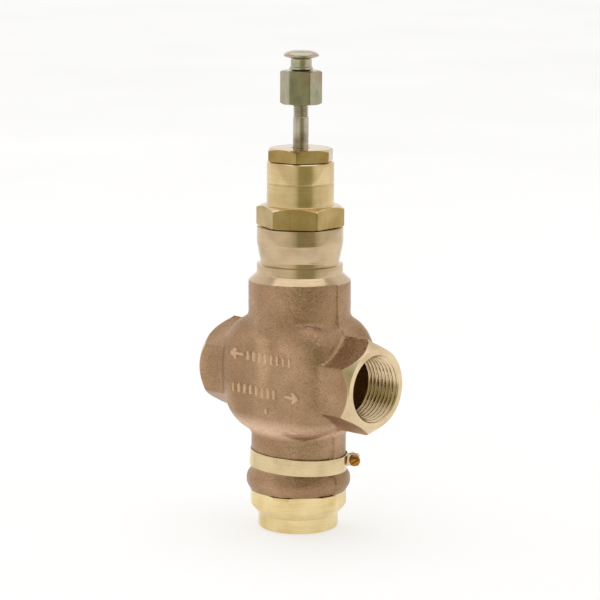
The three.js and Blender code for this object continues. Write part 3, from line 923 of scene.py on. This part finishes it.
def soft_material(name, colours, rough, cells, depth):
    """Fibre, rubber or moulded polymer with a fine even grain."""
    surface = Surface(name, NOT_METAL)
    grain = surface.noise(cells, 5)
    dark, light = (srgb(*colour) for colour in colours)
    surface.colour(surface.ramp(grain, [(0.35, dark), (0.65, light)]))
    surface.roughness(grain, *rough)
    surface.bump(grain, depth)
    return surface.material


# ---- inner pieces: the CAD's own nodes with procedural finishes ----
def finish_inner_pieces(finishes):
    """Gives each named CAD node its material."""
    for name, material in finishes.items():
        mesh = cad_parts[name].data
        mesh.materials.clear()
        mesh.materials.append(material)


# ---- build ----
bronze = cast_bronze()
collar_bronze = machined("bronze_turned", ((186, 162, 130), (203, 179, 144), (212, 188, 154)), ROUND_STEM)
port_bronze = machined("bronze_faced", ((212, 186, 148), (226, 202, 164), (234, 212, 176)), ROUND_PORT,
                       (0.2, 0.3), 0.004)
brass = machined("brass_turned", ((202, 178, 130), (217, 193, 143), (226, 203, 156)), ROUND_STEM)
plug_brass = machined("brass_bright", ((220, 196, 140), (234, 211, 155), (240, 219, 168)), ROUND_STEM)
strap_metal = machined("brass_strap", ((204, 182, 140), (219, 197, 154), (227, 206, 164)), ROUND_STEM)
# The screw's golden brass, darkened further with painted shade.
screw_brass_painted_shade = machined("brass_screw_painted_shade", ((140, 94, 38), (172, 120, 54), (196, 146, 78)), ROUND_STEM)
drawn_brass = machined("brass_drawn", ((160, 134, 80), (178, 152, 96), (190, 166, 114)), DRAWN_BAR,
                       (0.16, 0.26))
button_steel = machined("steel_turned", ((150, 154, 120), (186, 182, 158), (196, 164, 150)), ROUND_STEM)
steel = machined("steel_ground", ((138, 122, 98), (184, 176, 158), (200, 194, 180)), ROUND_STEM)
zinc = machined("zinc_plated", ((138, 142, 116), (170, 166, 138), (166, 146, 122)), DRAWN_BAR, (0.14, 0.24))
copper = machined("copper_soft", ((170, 104, 74), (190, 122, 90), (204, 138, 104)), ROUND_STEM)
polymer = soft_material("polymer_moulded", ((205, 202, 192), (226, 223, 214)), (0.45, 0.6), 1500, 0.02)
fibre = soft_material("fibre_gasket", ((58, 66, 62), (88, 96, 90)), (0.8, 0.95), 2500, 0.05)
rubber = soft_material("rubber_moulded", ((22, 22, 23), (36, 36, 37)), (0.6, 0.75), 1800, 0.02)

valve_body([bronze, collar_bronze, port_bronze])
bottom_plug([plug_brass])
bonnet([brass, drawn_brass])
gland_nut([brass, drawn_brass])
stem([steel])
coupling_nut([zinc])
stem_button([button_steel])
strap_band([strap_metal])
strap_screw([screw_brass_painted_shade])
strap_nut([strap_metal])
finish_inner_pieces({f"packing_ring_{index + 1}": polymer for index in range(PACKING_RING_COUNT)})
finish_inner_pieces({
    "bottom_gasket": fibre, "bonnet_gasket": fibre, "guide_bush": polymer, "packing_spring": steel,
    "packing_washer": brass, "packing_follower": brass, "seat_ring": brass, "seat_gasket": copper,
    "valve_plug": brass, "seat_disc": rubber, "disc_washer": steel, "disc_nut": brass,
})

# ---- camera ----
scene = bpy.context.scene
right = Vector((math.cos(CAMERA_AZIMUTH), math.sin(CAMERA_AZIMUTH), 0))
away = Vector((-math.sin(CAMERA_AZIMUTH), math.cos(CAMERA_AZIMUTH), 0))
forward = away * math.cos(CAMERA_ELEVATION) - Vector((0, 0, math.sin(CAMERA_ELEVATION)))
upward = right.cross(forward)
tilted_right = right * math.cos(CAMERA_ROLL) + upward * math.sin(CAMERA_ROLL)
tilted_up = upward * math.cos(CAMERA_ROLL) - right * math.sin(CAMERA_ROLL)
target = right * TARGET_RIGHT + Vector((0, 0, TARGET_Z))
turn = Matrix((tilted_right, tilted_up, -forward)).transposed().to_4x4()

camera = bpy.data.objects.new("camera", bpy.data.cameras.new("camera"))
camera.data.lens = CAMERA_LENS
camera.data.sensor_width = SENSOR_WIDTH
camera.data.clip_start = 0.05
camera.data.clip_end = 50
camera.matrix_world = Matrix.Translation(target - forward * CAMERA_DISTANCE) @ turn
scene.collection.objects.link(camera)
scene.camera = camera


# ---- floor and light ----
def floor():
    """A plain pale floor that ends a little in front of the valve."""
    near, far = FLOOR_NEAR, FLOOR_FAR
    outline = ((-FLOOR_HALF, near), (FLOOR_HALF, near), (FLOOR_HALF, far), (-FLOOR_HALF, far))
    corners = [right * x + away * y for x, y in outline]
    mesh = mesh_of([corner / MM for corner in corners], [[0, 1, 2, 3]])
    surface = Surface("floor_white", NOT_METAL)
    tone = surface.ramp(surface.noise(4, 2), [(0.3, srgb(178, 178, 178)), (0.7, srgb(181, 181, 181))])
    surface.colour(tone)
    surface.links.new(tone, surface.shader.inputs["Emission Color"])
    surface.shader.inputs["Emission Strength"].default_value = FLOOR_GLOW
    surface.shader.inputs["Roughness"].default_value = 0.9
    piece = new_object("floor", mesh, [surface.material])
    piece.location.z = -FLOOR_DROP


def soft_box(name, position, size, power):
    """A square soft light that is aimed at the middle of the valve."""
    light = bpy.data.lights.new(name, "AREA")
    light.shape = "SQUARE"
    light.size = size
    light.energy = power
    piece = bpy.data.objects.new(name, light)
    piece.location = position
    aim = Vector((0, 0, LIGHT_AIM_Z)) - piece.location
    piece.rotation_mode = "QUATERNION"
    piece.rotation_quaternion = aim.to_track_quat("-Z", "Y")
    scene.collection.objects.link(piece)


def surroundings():
    """A bright tent with a dim opening on the camera's side. The camera itself sees a plain backdrop."""
    world = bpy.data.worlds.new("tent")
    world.use_nodes = True
    nodes, links = world.node_tree.nodes, world.node_tree.links

    def math_node(operation, *values):
        node = nodes.new("ShaderNodeMath")
        node.operation = operation
        for socket, value in zip(node.inputs, values):
            if isinstance(value, float):
                socket.default_value = value
            else:
                links.new(value, socket)
        return node.outputs[0]

    def blend(first, colour, factor):
        """The first colour where the factor is 0, the given plain colour where it is 1."""
        mix = nodes.new("ShaderNodeMix")
        mix.data_type = "RGBA"
        links.new(factor, mix.inputs["Factor"])
        links.new(first, mix.inputs[MIX_FIRST])
        mix.inputs[MIX_SECOND].default_value = colour
        return mix.outputs[MIX_RESULT]

    way = nodes.new("ShaderNodeTexCoord").outputs["Generated"]
    turned_way = nodes.new("ShaderNodeVectorRotate")
    turned_way.rotation_type = "Z_AXIS"
    turned_way.inputs["Angle"].default_value = -CAMERA_AZIMUTH - math.radians(OPENING_SHIFT)
    links.new(way, turned_way.inputs["Vector"])
    local = nodes.new("ShaderNodeSeparateXYZ")
    links.new(turned_way.outputs[0], local.inputs[0])
    towards_opening = math_node("MULTIPLY", local.outputs["Y"], -1.0)
    angle = math_node("ARCTAN2", local.outputs["X"], towards_opening)
    share = math_node("DIVIDE", math_node("ABSOLUTE", angle), math.pi)

    ramp = nodes.new("ShaderNodeValToRGB")
    elements = ramp.color_ramp.elements
    while len(elements) < len(TENT):
        elements.new(0.5)
    for element, (degrees, level) in zip(elements, TENT):
        element.position = degrees / 180
        element.color = (level, level * 0.98, level ** 1.5, 1)    # warmer where it is dimmer
    links.new(share, ramp.inputs["Fac"])

    lift = nodes.new("ShaderNodeMapRange")
    lift.interpolation_type = "SMOOTHSTEP"
    lift.inputs["From Min"].default_value = ROOF_START
    lift.inputs["From Max"].default_value = ROOF_FULL
    links.new(local.outputs["Z"], lift.inputs["Value"])
    tent = blend(ramp.outputs["Color"], (ROOF_LEVEL, ROOF_LEVEL, ROOF_LEVEL, 1), lift.outputs["Result"])
    seen_directly = nodes.new("ShaderNodeLightPath").outputs["Is Camera Ray"]
    links.new(blend(tent, BACKDROP, seen_directly), nodes["Background"].inputs["Color"])
    scene.world = world


floor()
surroundings()
soft_box("top_light", away * LIGHT_AWAY + Vector((0, 0, LIGHT_HEIGHT)), LIGHT_SIZE, LIGHT_POWER)
scene.view_settings.view_transform = "Standard"
